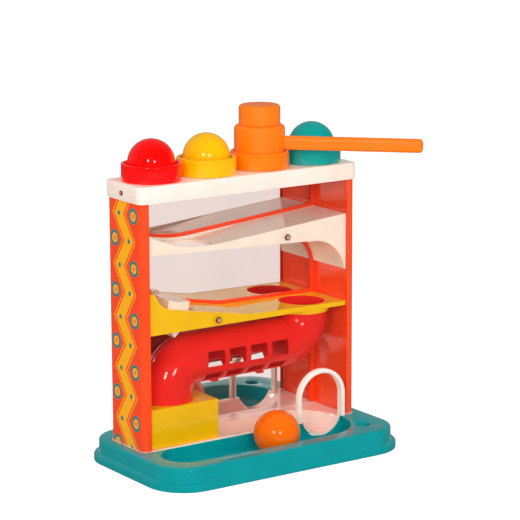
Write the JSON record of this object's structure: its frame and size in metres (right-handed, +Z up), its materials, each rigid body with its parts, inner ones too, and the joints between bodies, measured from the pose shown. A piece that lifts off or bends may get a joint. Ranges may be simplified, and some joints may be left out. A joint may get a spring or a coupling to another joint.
{
  "type": "ball pounding bench",
  "caption": "Toy tower with ball cups pounded with a hammer, sloping tracks, a bent tube, a mirror back, a clear front and a base with a ball trough.",
  "frame": {"origin": "middle of the whole toy's footprint, with the hammer parked in its cup, on the surface that it stands on", "axes": "+X along the row of cups from the red cup to the teal cup, -Y towards the trough and the clear front, +Z up"},
  "size_m": [0.2824, 0.1778, 0.3355],
  "materials": {
    "base_plastic": "glossy moulded teal plastic",
    "cream_plastic": "satin cream moulded plastic",
    "panel_plastic": "glossy orange-red moulded plastic",
    "yellow_plastic": "glossy yellow moulded plastic",
    "tube_plastic": "glossy red moulded plastic",
    "window_plastic": "clear plastic sheet",
    "mirror": "silvered plastic mirror sheet",
    "cup_red": "glossy red plastic",
    "cup_yellow": "glossy yellow plastic",
    "cup_orange": "glossy orange plastic",
    "cup_teal": "glossy teal plastic",
    "retainer_red": "soft flexible ring in the cup's colour",
    "retainer_yellow": "soft flexible ring in the cup's colour",
    "retainer_orange": "soft flexible ring in the cup's colour",
    "retainer_teal": "soft flexible ring in the cup's colour",
    "hammer_plastic": "satin orange plastic",
    "tip_plastic": "soft-touch cream plastic",
    "steel": "plated steel"
  },
  "bodies": {
    "bench": {"base_tray": "base_plastic", "floor_chute": "cream_plastic", "left_end_panel": "panel_plastic", "right_end_panel": "panel_plastic", "front_window": "window_plastic", "mirror_sheet": "mirror", "back_frame": "panel_plastic", "upper_track": "cream_plastic", "lower_track": "yellow_plastic", "rocker_pin": "steel", "tube_front_half": "tube_plastic", "tube_rear_half": "tube_plastic", "exit_box": "yellow_plastic", "arch_frame": "cream_plastic", "top_bar": "cream_plastic", "cup_red": "cup_red", "cup_yellow": "cup_yellow", "cup_orange": "cup_orange", "cup_teal": "cup_teal", "retainer_red": "retainer_red", "retainer_yellow": "retainer_yellow", "retainer_orange": "retainer_orange", "retainer_teal": "retainer_teal", "track_screw_upper": "steel", "track_screw_lower": "steel", "bar_screw_left": "steel", "bar_screw_right": "steel", "base_screw_left_front": "steel", "base_screw_left_rear": "steel", "base_screw_right_front": "steel", "base_screw_right_rear": "steel"},
    "rocker": {"rocker": "cream_plastic"},
    "ball_red": {"ball_red": "cup_red"},
    "ball_yellow": {"ball_yellow": "cup_yellow"},
    "ball_orange": {"ball_orange": "cup_orange"},
    "ball_teal": {"ball_teal": "cup_teal"},
    "hammer": {"hammer_barrel": "hammer_plastic", "hammer_cap": "hammer_plastic", "hammer_tip": "tip_plastic"}
  },
  "joints": [
    {"name": "ball_red_drop", "type": "slide", "parent": "bench", "child": "ball_red", "axis": [0, 0, 1], "range_m": [-0.05, 0.03], "deforming": ["retainer_red"]},
    {"name": "ball_yellow_drop", "type": "slide", "parent": "bench", "child": "ball_yellow", "axis": [0, 0, 1], "range_m": [-0.057, 0.03], "deforming": ["retainer_yellow"]},
    {"name": "ball_teal_drop", "type": "slide", "parent": "bench", "child": "ball_teal", "axis": [0, 0, 1], "range_m": [-0.045, 0.03], "deforming": ["retainer_teal"]},
    {"name": "ball_orange_roll", "type": "slide", "parent": "bench", "child": "ball_orange", "axis": [1, 0, 0], "range_m": [-0.1035, 0.0545]},
    {"name": "rocker_swing", "type": "hinge", "parent": "bench", "child": "rocker", "pos_m": [-0.08102, 0.02448, 0.14119], "axis": [0, 1, 0], "range_deg": [-18.8, 0]},
    {"name": "hammer_lift", "type": "slide", "parent": "bench", "child": "hammer", "axis": [0, 0, 1], "range_m": [0, 0.065]}
  ]
}
